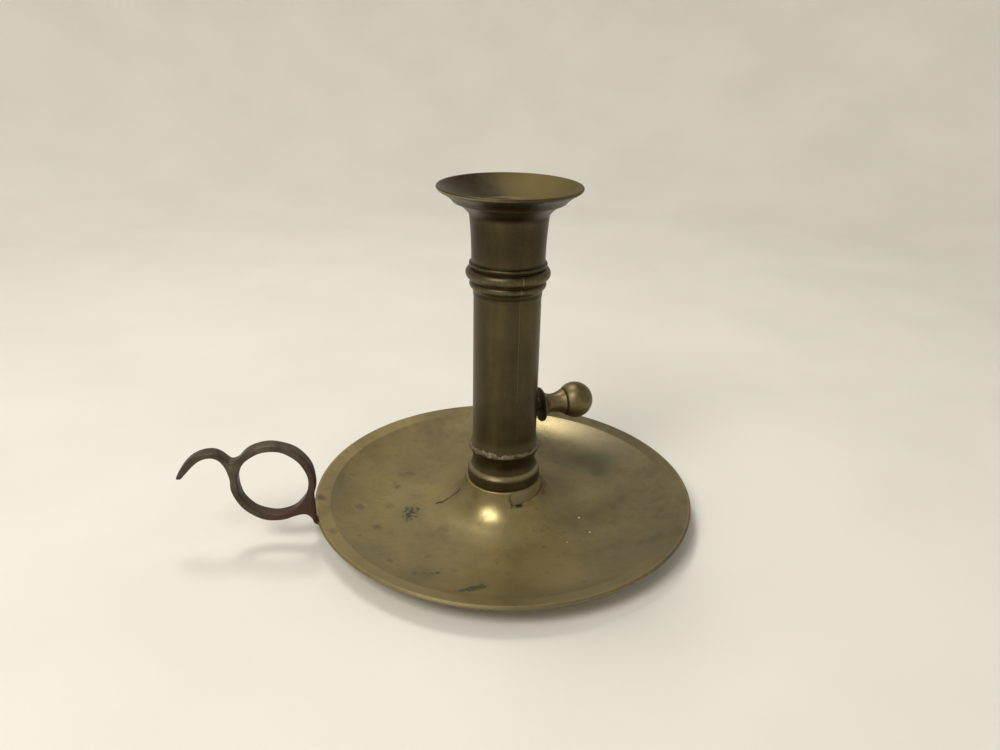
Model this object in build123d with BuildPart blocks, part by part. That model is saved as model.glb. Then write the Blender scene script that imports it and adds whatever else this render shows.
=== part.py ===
from build123d import *
import os
from math import cos, radians, sin, sqrt

# A brass chamberstick, in millimetres. The origin is on the table under the stem, +Z is up the stem,
# +X points along the ejector knob, and the finger loop is on the -X side.

# Drip pan
pan_radius = 75.0
pan_height = 10.0
pan_wall = 1.5
rim_band = 6.0
rim_rise = 1.5
rim_edge = 2.0
rim_round = 0.8
floor_radius = 42.0
boss_ledge = 0.7
boss_height = 15.0
boss_flare = 18.0
boss_seat_depth = 8.0
tear_start = -101.0
tear_sweep = 80.0
tear_depth = 5.4
tear_reach = 4.0

# Foot of the stem, and the ring that holds it under the boss
spigot_proud = 0.9
spigot_gap = 0.1
band_shoulder = 0.9
band_height = 4.2
arris_step = 0.3
spool_hollow = 0.2
spool_neck_proud = 0.7
spool_height = 9.0
plug_wall = 1.85
plug_height = 4.0
braze_gap = 0.05
ring_width = 2.4
ring_thickness = 2.5
ring_room = 0.3
peen_proud = 0.9
peen_height = 1.0

# Stem, in two halves
tube_radius = 12.5
tube_wall = 1.6
tube_length = 56.0
collar_proud = 1.6
collar_height = 1.5
collar_sweep = 5.3
strip_proud = 0.2
strip_height = 1.2
cove_proud = 0.7
cove_height = 1.8
lower_bead_proud = 1.6
lower_bead_height = 2.8
main_bead_proud = 3.0
main_bead_height = 4.4
upper_bead_proud = 1.75
upper_bead_height = 1.5
quirk_height = 0.5
neck_proud = 0.92
neck_flare = 0.98
neck_hollow = 0.25
neck_height = 17.5

# Lip and candle nozzle
lip_flare = 11.4
lip_height = 9.5
lip_edge = 1.2
lip_land = 0.8
lip_step_out = 5.9
lip_step_rise = 4.1
lip_step_width = 0.8
throat_step = 0.7
throat_depth = 6.7
throat_bevel = 1.0
funnel_hollow = 0.8
nozzle_step = 0.4
nozzle_depth = 28.0

# Ejector
knob_rise = 15.7
knob_stand = 2.1
shank_radius = 2.2
slot_gap = 0.2
shank_gap = 0.05
disc_radius = 6.8
disc_edge = 0.7
knob_waist = 3.7
knob_waist_from_disc = 4.3
knob_shoulder = 5.1
knob_shoulder_from_waist = 5.0
ball_radius = 7.2
ball_neck_radius = 5.2
groove_depth = 0.35
slide_gap = 0.2
leaf_thickness = 0.9
leaf_half_angle = 50.0
leaf_below = 7.0
plate_room = 0.3
plate_gap = 0.3
plate_thickness = 1.5
plate_rim = 3.1
plate_dish_depth = 0.4
spring_thickness = 0.6
spring_width = 7.0
spring_drop = 14.0
spring_bow = 1.55
spring_tab = 4.6
washer_width = 0.9
washer_thickness = 0.75
peened_end_proud = 0.8
peened_end_height = 1.0

# Finger loop
loop_radius = 12.95
loop_bar = 2.7
loop_width = 5.0
loop_round = 0.7
loop_rise = 16.2
loop_turn = 16.0
loop_overhang = 1.35
scroll_out = 5.65
scroll_top_rise = 13.2
scroll_bar = 2.2
scroll_span = 13.1
scroll_tip_rise = 2.5
scroll_tip_width = 1.9
scroll_root_rise = 4.0
scroll_notch_rise = 9.2
scroll_tip_lean = 22.0
scroll_under_lean = 44.0
scroll_web = 0.8
heel_web_out = 6.3
heel_web_drop = 13.0
strap_thickness = 2.4
strap_shoulder = 4.5
tongue_width = 6.0
tongue_leaf = 1.2
tongue_gap = 0.1
tongue_length = 9.0

# Rivets of the loop
rivet_radius = 1.2
rivet_head_radius = 1.9
rivet_head_height = 0.7
rivet_flush = 1.3
rivet_gap = 0.05
rivet_first = 6.5
rivet_pitch = 4.0

# Radii that follow from the tube
tube_bore = tube_radius - tube_wall
nozzle_bore = tube_bore + nozzle_step
throat_radius = nozzle_bore + throat_step
collar_radius = tube_radius + collar_proud
lower_bead_radius = tube_radius + lower_bead_proud
main_bead_radius = tube_radius + main_bead_proud
upper_bead_radius = tube_radius + upper_bead_proud
neck_radius = tube_radius + neck_proud
neck_top_radius = neck_radius + neck_flare
lip_radius = neck_top_radius + lip_flare
lip_step_radius = neck_top_radius + lip_step_out
spool_waist = tube_radius - spool_hollow
spool_neck = tube_radius + spool_neck_proud
foot_bore = tube_bore - braze_gap - plug_wall
spigot_radius = tube_radius + spigot_proud
spigot_hole = spigot_radius + spigot_gap
band_radius = spigot_radius + band_shoulder
arris_radius = band_radius - arris_step
ring_radius = spigot_radius + ring_width
boss_radius = band_radius + boss_ledge
boss_root_radius = boss_radius + boss_flare

# Heights that follow from the sizes above
boss_seat = boss_height - boss_seat_depth
spigot_base = boss_seat - ring_thickness
stem_base = boss_height + band_height + spool_height
tube_base = stem_base + collar_height + collar_sweep
tube_top = tube_base + tube_length
strip_top = tube_top + strip_height
cove_top = strip_top + cove_height
lower_bead_top = cove_top + lower_bead_height
main_bead_base = lower_bead_top + quirk_height
main_bead_top = main_bead_base + main_bead_height
upper_bead_base = main_bead_top + quirk_height
upper_bead_top = upper_bead_base + upper_bead_height
neck_top = upper_bead_top + neck_height
lip_top = neck_top + lip_height
throat_height = lip_top - throat_depth
nozzle_top = throat_height - throat_bevel
nozzle_base = nozzle_top - nozzle_depth

# The plate rests just under the nozzle, and the slot lets it rise to the top of the nozzle
plate_base = nozzle_base - plate_room - plate_thickness
knob_height = stem_base + knob_rise
slot_half = shank_radius + slot_gap
slot_base = knob_height - slot_half
slot_top = knob_height + nozzle_depth + slot_half

# The pan's wall is one arc that leaves the flat floor level and ends at the rim band
band_inner = pan_radius - rim_band
band_base = pan_height - rim_rise
wall_run = band_inner - floor_radius
wall_rise = band_base - pan_wall
wall_arc = (wall_run**2 + wall_rise**2) / (2 * wall_rise)


def upright(azimuth):
    """Plane through the stem's axis at an azimuth, x outwards and y up."""
    turn = radians(azimuth)
    return Plane(origin=(0, 0, 0), x_dir=(cos(turn), sin(turn), 0), z_dir=(sin(turn), -cos(turn), 0))


def wall_under(radius):
    """Height of the underside of the pan's wall at a radius."""
    return wall_arc - sqrt(wall_arc**2 - (radius - floor_radius) ** 2)


def rivet_planes():
    """Planes on the underside of the pan's wall, square to it, where the rivets of the loop go."""
    planes = []
    for count in range(2):
        radius = band_inner - rivet_first + count * rivet_pitch
        slope = (radius - floor_radius) / wall_arc
        planes.append(
            Plane(
                origin=(-radius, 0, wall_under(radius)),
                x_dir=(0, 1, 0),
                z_dir=(slope, 0, sqrt(1 - slope**2)),
            )
        )
    return planes


# Drip pan: one turned wall from the boss over the floor to the rim, with the torn place in the boss
with BuildPart() as drip_pan:
    with BuildSketch(Plane.XZ):
        with BuildLine():
            Line((spigot_hole, boss_seat), (spigot_hole, boss_height))
            Line((spigot_hole, boss_height), (boss_radius, boss_height))
            TangentArc((boss_root_radius, pan_wall), (boss_radius, boss_height), tangent=(-1, 0))
            Line((boss_root_radius, pan_wall), (floor_radius, pan_wall))
            TangentArc((floor_radius, pan_wall), (band_inner, band_base), tangent=(1, 0))
            Line((band_inner, band_base), (pan_radius, pan_height))
            Line((pan_radius, pan_height), (pan_radius, pan_height - rim_edge))
            Line((pan_radius, pan_height - rim_edge), (band_inner, band_base - pan_wall))
            TangentArc((floor_radius, 0), (band_inner, band_base - pan_wall), tangent=(1, 0))
            Line((floor_radius, 0), (boss_root_radius, 0))
            TangentArc((boss_root_radius, 0), (ring_radius + ring_room, boss_seat), tangent=(-1, 0))
            Line((ring_radius + ring_room, boss_seat), (spigot_hole, boss_seat))
        make_face()
    revolve(axis=Axis.Z)
    rim_edges = drip_pan.edges().filter_by(GeomType.CIRCLE)
    fillet(rim_edges.filter_by(lambda edge: edge.radius > pan_radius - rim_round), radius=rim_round)
    with BuildSketch(upright(tear_start)):
        with Locations((boss_radius, boss_height - tear_depth)):
            Rectangle(tear_reach, 2 * tear_depth, align=(Align.MIN, Align.MIN))
    revolve(axis=Axis.Z, revolution_arc=tear_sweep, mode=Mode.SUBTRACT)
    with Locations(*[Location(plane) for plane in rivet_planes()]):
        Cylinder(rivet_radius + rivet_gap, 4 * pan_wall, mode=Mode.SUBTRACT)
drip_pan.part.label = "drip_pan"

# Foot: a turned spool, hollow, with a plug for the tube above and a spigot through the boss below
with BuildPart() as stem_foot:
    with BuildSketch(Plane.XZ):
        with BuildLine():
            Polyline(
                (foot_bore, spigot_base - peen_height),
                (spigot_radius + peen_proud, spigot_base - peen_height),
                (spigot_radius + peen_proud, spigot_base),
                (spigot_radius, spigot_base),
                (spigot_radius, boss_height),
                (band_radius, boss_height),
                (band_radius, boss_height + band_height),
                (arris_radius, boss_height + band_height),
            )
            ThreePointArc(
                (arris_radius, boss_height + band_height),
                (spool_waist, boss_height + band_height + spool_height / 2),
                (spool_neck, stem_base),
            )
            Polyline(
                (spool_neck, stem_base),
                (tube_bore - braze_gap, stem_base),
                (tube_bore - braze_gap, stem_base + plug_height),
                (foot_bore, stem_base + plug_height),
                (foot_bore, spigot_base - peen_height),
            )
        make_face()
    revolve(axis=Axis.Z)
stem_foot.part.label = "stem_foot"

# Ring under the boss, round the spigot
with BuildPart() as spigot_ring:
    with BuildSketch(Plane.XY.offset(spigot_base)):
        Circle(ring_radius)
        Circle(spigot_radius + braze_gap, mode=Mode.SUBTRACT)
    extrude(amount=ring_thickness)
spigot_ring.part.label = "spigot_ring"

# Section of the stem from the collar to the lip, with the bore of the tube and of the nozzle
with BuildSketch(Plane.XZ) as stem_section:
    with BuildLine():
        Polyline(
            (tube_bore, stem_base),
            (collar_radius, stem_base),
            (collar_radius, stem_base + collar_height),
        )
        TangentArc((tube_radius, tube_base), (collar_radius, stem_base + collar_height), tangent=(0, -1))
        Polyline(
            (tube_radius, tube_base),
            (tube_radius, tube_top),
            (tube_radius + strip_proud, tube_top),
            (tube_radius + strip_proud, strip_top),
            (tube_radius + cove_proud, cove_top),
        )
        ThreePointArc(
            (tube_radius + cove_proud, cove_top),
            (lower_bead_radius, cove_top + lower_bead_height / 2),
            (neck_radius, lower_bead_top),
        )
        Line((neck_radius, lower_bead_top), (neck_radius, main_bead_base))
        ThreePointArc(
            (neck_radius, main_bead_base),
            (main_bead_radius, main_bead_base + main_bead_height / 2),
            (neck_radius, main_bead_top),
        )
        Line((neck_radius, main_bead_top), (neck_radius, upper_bead_base))
        ThreePointArc(
            (neck_radius, upper_bead_base),
            (upper_bead_radius, upper_bead_base + upper_bead_height / 2),
            (neck_radius, upper_bead_top),
        )
        ThreePointArc(
            (neck_radius, upper_bead_top),
            ((neck_radius + neck_top_radius) / 2 - neck_hollow, upper_bead_top + neck_height / 2),
            (neck_top_radius, neck_top),
        )
        Polyline(
            (neck_top_radius, neck_top),
            (lip_step_radius - lip_step_width, neck_top + lip_step_rise),
            (lip_step_radius, neck_top + lip_step_rise),
            (lip_radius, lip_top - lip_edge),
            (lip_radius, lip_top),
            (lip_radius - lip_land, lip_top),
        )
        SagittaArc((lip_radius - lip_land, lip_top), (throat_radius, throat_height), funnel_hollow)
        Polyline(
            (throat_radius, throat_height),
            (nozzle_bore, nozzle_top),
            (nozzle_bore, nozzle_base),
            (tube_bore, nozzle_base),
            (tube_bore, stem_base),
        )
    make_face()

# The two halves of the stem meet on the plane X = 0, and the slot is in the middle of the +X half
with BuildPart() as stem_half_slotted:
    revolve(stem_section.sketch, axis=Axis.Z)
    split(bisect_by=Plane.YZ, keep=Keep.TOP)
    with BuildSketch(Plane.YZ.offset(tube_bore / 2)):
        with Locations((0, (slot_base + slot_top) / 2)):
            SlotOverall(slot_top - slot_base, 2 * slot_half, rotation=90)
    extrude(amount=tube_radius, mode=Mode.SUBTRACT)
stem_half_slotted.part.label = "stem_half_slotted"

with BuildPart() as stem_half_plain:
    revolve(stem_section.sketch, axis=Axis.Z)
    split(bisect_by=Plane.YZ, keep=Keep.BOTTOM)
stem_half_plain.part.label = "stem_half_plain"

# Ejector, drawn with the knob at the foot of its slot
leaf_radius = tube_bore - slide_gap
leaf_inner = leaf_radius - leaf_thickness
washer_radius = shank_radius + washer_width
peened_end_radius = shank_radius + peened_end_proud
washer_face = sqrt(leaf_inner**2 - washer_radius**2) - shank_gap
washer_back = washer_face - washer_thickness
disc_face = tube_radius + knob_stand
waist_x = disc_face + disc_edge + knob_waist_from_disc
shoulder_x = waist_x + knob_shoulder_from_waist
groove_x = shoulder_x + groove_depth
ball_centre_x = groove_x + sqrt(ball_radius**2 - ball_neck_radius**2)
knob_axis = Axis((0, 0, knob_height), (1, 0, 0))

# Knob: turned in one piece with its shank, which is peened over inside the leaf
with BuildPart() as knob:
    with BuildSketch(Plane.XZ.shift_origin((0, 0, knob_height))):
        with BuildLine():
            Line((washer_back - peened_end_height, 0), (ball_centre_x + ball_radius, 0))
            ThreePointArc(
                (ball_centre_x + ball_radius, 0),
                (ball_centre_x, ball_radius),
                (groove_x, ball_neck_radius),
            )
            Polyline(
                (groove_x, ball_neck_radius),
                (groove_x, knob_shoulder - groove_depth),
                (shoulder_x, knob_shoulder),
            )
            TangentArc((waist_x, knob_waist), (shoulder_x, knob_shoulder), tangent=(1, 0))
            TangentArc((waist_x, knob_waist), (disc_face + disc_edge, disc_radius), tangent=(-1, 0))
            Polyline(
                (disc_face + disc_edge, disc_radius),
                (disc_face, disc_radius),
                (disc_face, shank_radius),
                (washer_back, shank_radius),
                (washer_back, peened_end_radius),
            )
            TangentArc(
                (washer_back - peened_end_height, 0),
                (washer_back, peened_end_radius),
                tangent=(0, 1),
            )
        make_face()
    revolve(axis=knob_axis)
knob.part.label = "knob"

# Washer between the leaf and the peened end of the shank
with BuildPart() as shank_washer:
    with BuildSketch(Plane.YZ.offset(washer_back)):
        with Locations((0, knob_height)):
            Circle(washer_radius)
            Circle(shank_radius + shank_gap, mode=Mode.SUBTRACT)
    extrude(amount=washer_thickness)
shank_washer.part.label = "shank_washer"

# Leaf: a long curved strip that rides behind the slot and carries the plate
with BuildPart() as slide_leaf:
    with BuildSketch(upright(-leaf_half_angle)):
        with Locations((leaf_inner, knob_height - leaf_below)):
            Rectangle(leaf_thickness, plate_base - knob_height + leaf_below, align=(Align.MIN, Align.MIN))
    revolve(axis=Axis.Z, revolution_arc=2 * leaf_half_angle)
    with BuildSketch(Plane.YZ):
        with Locations((0, knob_height)):
            Circle(shank_radius + shank_gap)
    extrude(amount=tube_radius, mode=Mode.SUBTRACT)
slide_leaf.part.label = "slide_leaf"

# Plate on top of the leaf, a little dished, on which the candle stands
plate_radius = tube_bore - plate_gap
with BuildPart() as pusher_disc:
    with BuildSketch(Plane.XY.offset(plate_base)):
        Circle(plate_radius)
    extrude(amount=plate_thickness)
    with BuildSketch(Plane.XY.offset(plate_base + plate_thickness - plate_dish_depth)):
        Circle(plate_radius - plate_rim)
    extrude(amount=plate_dish_depth, mode=Mode.SUBTRACT)
pusher_disc.part.label = "pusher_disc"

# Spring: a bowed strip under the plate that rubs on the back of the bore
spring_half = spring_width / 2
spring_face = sqrt((tube_bore - slide_gap) ** 2 - spring_half**2)
spring_root = spring_face - spring_bow
with BuildPart() as bow_spring:
    with BuildSketch(Plane.XZ):
        with BuildLine():
            ThreePointArc(
                (-spring_root, plate_base),
                (-spring_face, plate_base - spring_drop / 2),
                (-spring_root, plate_base - spring_drop),
            )
            Line(
                (-spring_root, plate_base - spring_drop),
                (spring_thickness - spring_root, plate_base - spring_drop),
            )
            ThreePointArc(
                (spring_thickness - spring_root, plate_base - spring_drop),
                (spring_thickness - spring_face, plate_base - spring_drop / 2),
                (spring_thickness - spring_root, plate_base - spring_thickness),
            )
            Polyline(
                (spring_thickness - spring_root, plate_base - spring_thickness),
                (spring_tab - spring_root, plate_base - spring_thickness),
                (spring_tab - spring_root, plate_base),
                (-spring_root, plate_base),
            )
        make_face()
    extrude(amount=spring_half, both=True)
bow_spring.part.label = "bow_spring"

# Tongue of the finger loop: it hugs the underside of the pan's wall, turns up round the rim, and thickens and
# narrows there to a strap of the ring's width
tongue_inner = pan_radius + tongue_gap
strap_outer = tongue_inner + strap_thickness
heel_outer = tongue_inner + tongue_leaf
rim_under = pan_height - rim_edge - tongue_gap
tongue_end = band_inner - tongue_length
tongue_middle = band_inner - tongue_length / 2
loop_centre_height = pan_height + loop_rise
loop_reach = loop_radius + loop_overhang
strap_middle = loop_reach - strap_thickness / 2
strap_top = loop_centre_height - sqrt((loop_radius + loop_bar / 2) ** 2 - strap_middle**2)
with BuildPart() as tongue:
    with BuildSketch(Plane.XZ) as tongue_outline:
        with BuildLine():
            Polyline(
                (-band_inner, wall_under(band_inner) - tongue_gap),
                (-tongue_inner, rim_under),
                (-tongue_inner, strap_top),
                (-strap_outer, strap_top),
                (-strap_outer, pan_height + strap_shoulder),
                (-heel_outer, rim_under - tongue_leaf),
                (-band_inner, wall_under(band_inner) - tongue_gap - tongue_leaf),
            )
            ThreePointArc(
                (-band_inner, wall_under(band_inner) - tongue_gap - tongue_leaf),
                (-tongue_middle, wall_under(tongue_middle) - tongue_gap - tongue_leaf),
                (-tongue_end, wall_under(tongue_end) - tongue_gap - tongue_leaf),
            )
            Line(
                (-tongue_end, wall_under(tongue_end) - tongue_gap - tongue_leaf),
                (-tongue_end, wall_under(tongue_end) - tongue_gap),
            )
            ThreePointArc(
                (-tongue_end, wall_under(tongue_end) - tongue_gap),
                (-tongue_middle, wall_under(tongue_middle) - tongue_gap),
                (-band_inner, wall_under(band_inner) - tongue_gap),
            )
        make_face()
        heel = Vector(-heel_outer, rim_under - tongue_leaf)
        fillet(tongue_outline.vertices().sort_by_distance(heel)[0], radius=tongue_leaf + rim_round)
        crook = Vector(-tongue_inner, rim_under)
        fillet(tongue_outline.vertices().sort_by_distance(crook)[0], radius=rim_round)
    extrude(amount=tongue_width / 2, both=True)
    with BuildSketch(Plane.XY):
        for side in (1, -1):
            with BuildLine():
                Polyline(
                    (-strap_outer, side * (loop_width / 2 - loop_round)),
                    (-strap_outer - strap_thickness, side * (loop_width / 2 - loop_round)),
                    (-strap_outer - strap_thickness, side * tongue_width),
                    (-band_inner, side * tongue_width),
                    (-band_inner, side * tongue_width / 2),
                    (-tongue_inner, side * loop_width / 2),
                    (-strap_outer + loop_round, side * loop_width / 2),
                )
                TangentArc(
                    (-strap_outer + loop_round, side * loop_width / 2),
                    (-strap_outer, side * (loop_width / 2 - loop_round)),
                    tangent=(-1, 0),
                )
            make_face()
    extrude(amount=loop_centre_height, mode=Mode.SUBTRACT)
    with Locations(*[Location(plane) for plane in rivet_planes()]):
        Cylinder(rivet_radius + rivet_gap, 4 * tongue_leaf, mode=Mode.SUBTRACT)

# Finger loop: a forged bar bent to a ring with a thumb scroll, standing on the strap of the tongue.
# The ring is turned a little about the upright line where the strap leaves the rim.
ring_outer = loop_radius + loop_bar
turn = radians(loop_turn)
ring_plane = Plane(
    origin=(-tongue_inner - loop_reach * cos(turn), loop_reach * sin(turn), loop_centre_height),
    x_dir=(cos(turn), -sin(turn), 0),
    z_dir=(-sin(turn), -cos(turn), 0),
)
scroll_top_out = ring_outer + scroll_out
scroll_tip_out = scroll_top_out + scroll_span
scroll_top = (-scroll_top_out, scroll_top_rise)
scroll_under = (-scroll_top_out, scroll_top_rise - scroll_bar)
scroll_tip = (-scroll_tip_out, scroll_tip_rise)
scroll_tip_under = (-scroll_tip_out + scroll_tip_width, scroll_tip_rise)
tip_lean = radians(scroll_tip_lean)
under_lean = radians(scroll_under_lean)
tip_course = (-sin(tip_lean), -cos(tip_lean))
under_course = (-sin(under_lean), -cos(under_lean))
scroll_root = (-sqrt(ring_outer**2 - scroll_root_rise**2), scroll_root_rise)
scroll_notch = (-sqrt(ring_outer**2 - scroll_notch_rise**2), scroll_notch_rise)
heel_web_root = (heel_web_out, -sqrt(ring_outer**2 - heel_web_out**2))
heel_web_top = (strap_middle, -sqrt(ring_outer**2 - strap_middle**2))
heel_web_toe = (strap_middle, -heel_web_drop)
with BuildPart() as finger_loop:
    with BuildSketch(ring_plane) as loop_outline:
        with BuildLine():
            TangentArc(scroll_top, scroll_notch, tangent=(1, 0))
            Spline(scroll_top, scroll_tip, tangents=((-1, 0), tip_course))
            Line(scroll_tip, scroll_tip_under)
            Spline(scroll_under, scroll_tip_under, tangents=((-1, 0), under_course))
            TangentArc(scroll_under, scroll_root, tangent=(1, 0))
            Polyline(scroll_root, (-loop_radius, 0), scroll_notch)
        make_face()
        with BuildLine():
            Polyline(heel_web_root, heel_web_toe, heel_web_top, close=True)
        make_face()
        Circle(ring_outer)
        Circle(loop_radius, mode=Mode.SUBTRACT)
        for corner in (scroll_notch, scroll_root):
            fillet(loop_outline.vertices().sort_by_distance(Vector(*corner))[0], radius=scroll_web)
    extrude(amount=loop_width / 2, both=True)
    side_faces = finger_loop.faces().filter_by(Axis(ring_plane.origin, ring_plane.z_dir))
    fillet(side_faces.edges(), radius=loop_round)
    add(tongue.part)
finger_loop.part.label = "finger_loop"

# Rivets of the loop: heads under the tongue, ends filed flush with the inside of the pan
rivet_foot = tongue_gap + tongue_leaf
with BuildPart() as loop_rivets:
    with Locations(*[Location(plane) * Pos(0, 0, -rivet_foot) for plane in rivet_planes()]):
        Cylinder(rivet_radius, rivet_foot + rivet_flush, align=(Align.CENTER, Align.CENTER, Align.MIN))
        Cylinder(rivet_head_radius, rivet_head_height, align=(Align.CENTER, Align.CENTER, Align.MAX))
loop_rivets.part.label = "loop_rivets"

os.makedirs("parts", exist_ok=True)
for piece in (
    drip_pan,
    stem_foot,
    spigot_ring,
    stem_half_slotted,
    stem_half_plain,
    knob,
    shank_washer,
    slide_leaf,
    pusher_disc,
    bow_spring,
    finger_loop,
    loop_rivets,
):
    export_step(piece.part, f"parts/{piece.part.label}.step")
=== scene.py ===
import math

import bmesh
import bpy
import numpy as np
from mathutils import Matrix


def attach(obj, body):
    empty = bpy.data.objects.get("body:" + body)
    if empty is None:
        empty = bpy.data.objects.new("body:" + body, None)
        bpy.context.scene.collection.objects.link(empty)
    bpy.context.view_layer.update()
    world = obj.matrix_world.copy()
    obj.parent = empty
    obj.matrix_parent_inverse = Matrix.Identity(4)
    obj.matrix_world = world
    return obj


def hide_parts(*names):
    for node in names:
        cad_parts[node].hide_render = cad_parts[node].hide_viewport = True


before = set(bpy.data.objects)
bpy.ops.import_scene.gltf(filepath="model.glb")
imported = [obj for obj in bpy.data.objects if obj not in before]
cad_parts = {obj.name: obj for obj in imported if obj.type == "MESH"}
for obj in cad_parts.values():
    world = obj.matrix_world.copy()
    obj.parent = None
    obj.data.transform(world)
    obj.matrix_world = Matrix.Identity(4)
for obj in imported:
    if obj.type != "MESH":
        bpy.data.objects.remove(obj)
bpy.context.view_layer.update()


# Drip pan: a saucer cast in brass and turned thin, with a raised boss in the middle for the stem.
# Its face has gone olive and spotted with verdigris. The boss is torn away on one side, which leaves an
# upright broken wall over a ledge, and a crack runs out from the other side.

boss_radius, boss_height = 15.0, 15.0
rim_radius, rim_edge = 69.0, 74.4
ledge_radius, ledge_height = 17.57, 9.6
tear_from, tear_to = -101.0, -24.0
pan_course = [
    (13.5, 7.0, 0, 2.0),
    (13.5, boss_height, 0, 0.5),
    (boss_radius, boss_height, -0.544, 0.2),
    (19.5, 7.24, -1.494, 0.45),
    (33.0, 1.5, 0, 1.5),
    (42.0, 1.5, -1.778, 1.2),
    (rim_radius, 8.5, 0, 0.7),
    (74.3, 9.83, -0.2, 0.3),
    (74.99, 9.3, 0, 0.4),
    (74.99, 8.7, -0.2, 0.4),
    (74.3, 7.9, 0, 2.0),
    (rim_radius, 7.0, 1.778, 3.0),
    (42.0, 0.0, 0, 3.0),
    (33.0, 0.0, 1.82, 2.0),
    (16.1, 7.0, 0, 1.0),
    (13.5, 7.0, 0, 1.0),
]


def turned(course, buff, closed=True):
    """Section of a turned piece, in mm. The course lists corners (radius, height), each with the rise of
    the arc to the next corner (left of the way is plus, none is a straight line) and the wanted gap
    between points. The arcs are sampled finely, eased by a moving average of width buff as polishing
    eases an arris, then thinned so that the points crowd where the section bends."""
    fine, bend_step = 0.04, 0.16
    ways, gaps = [], []
    for (r0, z0, rise, gap), (r1, z1, _, _) in zip(course[:-1], course[1:]):
        length = math.hypot(r1 - r0, z1 - z0)
        t = np.arange(0, 1, fine / length)
        half = 2 * math.atan2(2 * rise, length)
        along, across = t, 0 * t
        if rise:
            along = 0.5 + 0.5 * np.sin(half * (2 * t - 1)) / math.sin(half)
            across = 0.5 * (np.cos(half * (2 * t - 1)) - math.cos(half)) / math.sin(half)
        radius = r0 + along * (r1 - r0) - across * (z1 - z0)
        height = z0 + along * (z1 - z0) + across * (r1 - r0)
        ways.append(np.stack([radius, height], 1))
        gaps.append(np.full(len(t), gap))
    way = np.vstack(ways + ([] if closed else [np.array([course[-1][:2]])]))
    gap = np.concatenate(gaps + ([] if closed else [gaps[-1][-1:]]))
    reach = max(1, round(buff / fine / 2))
    padding = {"mode": "wrap"} if closed else {"mode": "reflect", "reflect_type": "odd"}
    kernel = np.full(2 * reach + 1, 1 / (2 * reach + 1))
    for _ in range(2):
        padded = np.pad(way, ((reach, reach), (0, 0)), **padding)
        way = np.stack([np.convolve(padded[:, k], kernel, "valid") for k in (0, 1)], 1)
    if closed:
        way, gap = np.vstack([way, way[:1]]), np.append(gap, gap[0])
    step = np.diff(way, axis=0)
    heading = np.unwrap(np.arctan2(step[:, 1], step[:, 0]))
    bend = np.abs(np.diff(heading, append=heading[-1:]))
    measure = np.append(0, np.cumsum(np.hypot(*step.T) / gap[:-1] + bend / bend_step))
    wanted = np.linspace(0, measure[-1], math.ceil(measure[-1]) + 1)
    section = np.stack([np.interp(wanted, measure, way[:, k]) for k in (0, 1)], 1)
    return section[:-1] if closed else section


def spun(section, turns):
    """Surface of revolution about the upright axis: each point of the section (radius, height) is carried
    through the turns. Rows follow the section, columns the turn."""
    radius, height = section[:, :1], section[:, 1:]
    return np.stack([radius * np.cos(turns), radius * np.sin(turns), height + 0 * turns], -1)


def quads(shape, wrap, first=0):
    """Four-sided faces between neighbours on a grid of points numbered row by row from first. wrap says
    whether the rows and the columns close on themselves."""
    number = np.arange(shape[0] * shape[1]).reshape(shape[:2]) + first
    number = np.vstack([number, number[:1]]) if wrap[0] else number
    number = np.hstack([number, number[:, :1]]) if wrap[1] else number
    corners = [number[:-1, :-1], number[:-1, 1:], number[1:, 1:], number[1:, :-1]]
    return np.stack(corners, -1).reshape(-1, 4).tolist()


def shaped(name, points, faces, material, **marks):
    """Mesh object from points in mm, with one number per point for each mark. Points that meet are
    merged, faces are turned outwards, and edges sharper than 50 degrees stay sharp."""
    mesh = bpy.data.meshes.new(name)
    mesh.from_pydata((points.reshape(-1, 3) / 1000).tolist(), [], faces)
    for mark, values in marks.items():
        layer = mesh.attributes.new(mark, "FLOAT", "POINT")
        numbers = np.broadcast_to(values, points.shape[:-1]).astype(np.float32)
        layer.data.foreach_set("value", numbers.ravel())
    work = bmesh.new()
    work.from_mesh(mesh)
    bmesh.ops.remove_doubles(work, verts=work.verts, dist=2e-7)
    bmesh.ops.recalc_face_normals(work, faces=work.faces)
    work.to_mesh(mesh)
    work.free()
    mesh.shade_smooth()
    mesh.set_sharp_from_angle(angle=math.radians(50))
    mesh.materials.append(material)
    made = bpy.data.objects.new(name, mesh)
    bpy.context.scene.collection.objects.link(made)
    return made


def linear(code):
    """Linear colour of an sRGB hex code, with full alpha."""
    channel = np.array([int(code[k : k + 2], 16) for k in (1, 3, 5)]) / 255
    light = np.where(channel <= 0.04045, channel / 12.92, ((channel + 0.055) / 1.055) ** 2.4)
    return (*light.tolist(), 1.0)


def node(material, kind, settings, links=None, out=0):
    """Adds one shader node and gives back its output. Settings are properties or input values by name or
    number, links are sources for inputs, and a ramp is a list of places and hex colours."""
    made = material.node_tree.nodes.new(kind)
    for name, value in settings.items():
        if name == "ramp":
            made.color_ramp.elements.remove(made.color_ramp.elements[0])
            for k, (place, code) in enumerate(value):
                stop = made.color_ramp.elements.new(place) if k else made.color_ramp.elements[0]
                stop.position, stop.color = place, linear(code)
        elif isinstance(name, str) and hasattr(made, name):
            setattr(made, name, value)
        else:
            made.inputs[name].default_value = value
    for name, source in (links or {}).items():
        material.node_tree.links.new(source, made.inputs[name])
    return made.outputs[out] if made.outputs else made


def blank(name):
    """New material with an empty node tree, its output and its coordinates in metres."""
    material = bpy.data.materials.new(name)
    material.use_nodes = True
    material.node_tree.nodes.clear()
    return material, node(material, "ShaderNodeTexCoord", {}, out="Object")


def around(x, y, centre, reach):
    """Soft round mark: one at the centre, falling off over the reach."""
    return np.exp(-((x - centre[0]) ** 2 + (y - centre[1]) ** 2) / reach**2)


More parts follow.
